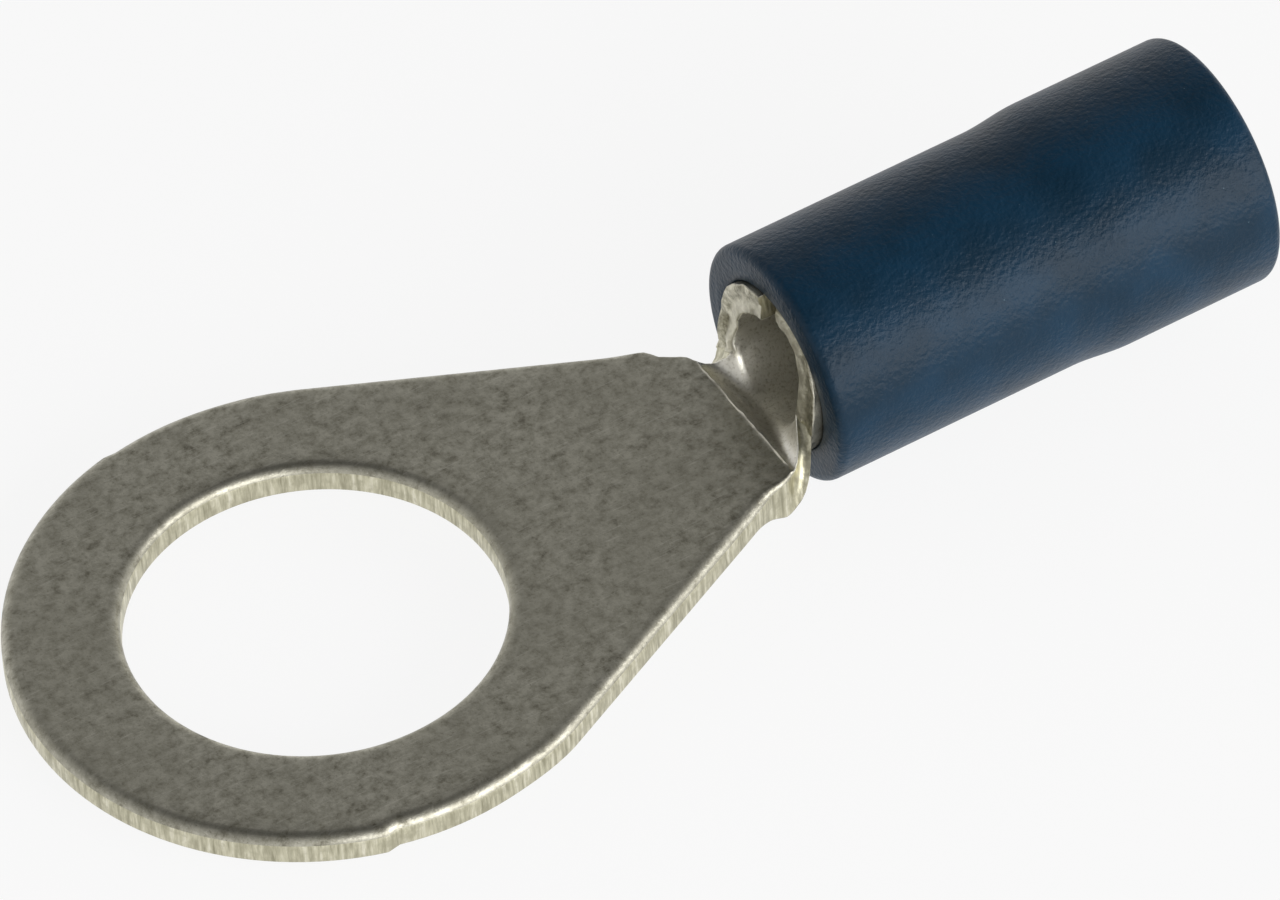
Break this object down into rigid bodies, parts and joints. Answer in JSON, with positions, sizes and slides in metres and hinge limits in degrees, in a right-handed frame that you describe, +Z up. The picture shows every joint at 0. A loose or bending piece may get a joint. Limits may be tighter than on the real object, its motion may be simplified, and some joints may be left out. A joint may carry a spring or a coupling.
{
  "type": "ring terminal",
  "caption": "Insulated ring terminal: flat tinned copper ring and tongue, rolled wire barrel, blue plastic sleeve with a widened wire entry.",
  "frame": {"origin": "centre of the stud hole on the underside of the tongue", "axes": "+Z up through the stud hole, out of the tongue's top; +X from the ring along the barrel to the wire entry; +Y across the tongue"},
  "size_m": [0.0299, 0.0136, 0.0058],
  "materials": {
    "tinned_copper": "dull tin plating over copper, lightly scratched, bright on the sheared and rolled edges",
    "blue_plastic": "satin moulded plastic, very dark blue"
  },
  "bodies": {
    "root": {"terminal": "tinned_copper", "sleeve": "blue_plastic"}
  },
  "joints": []
}
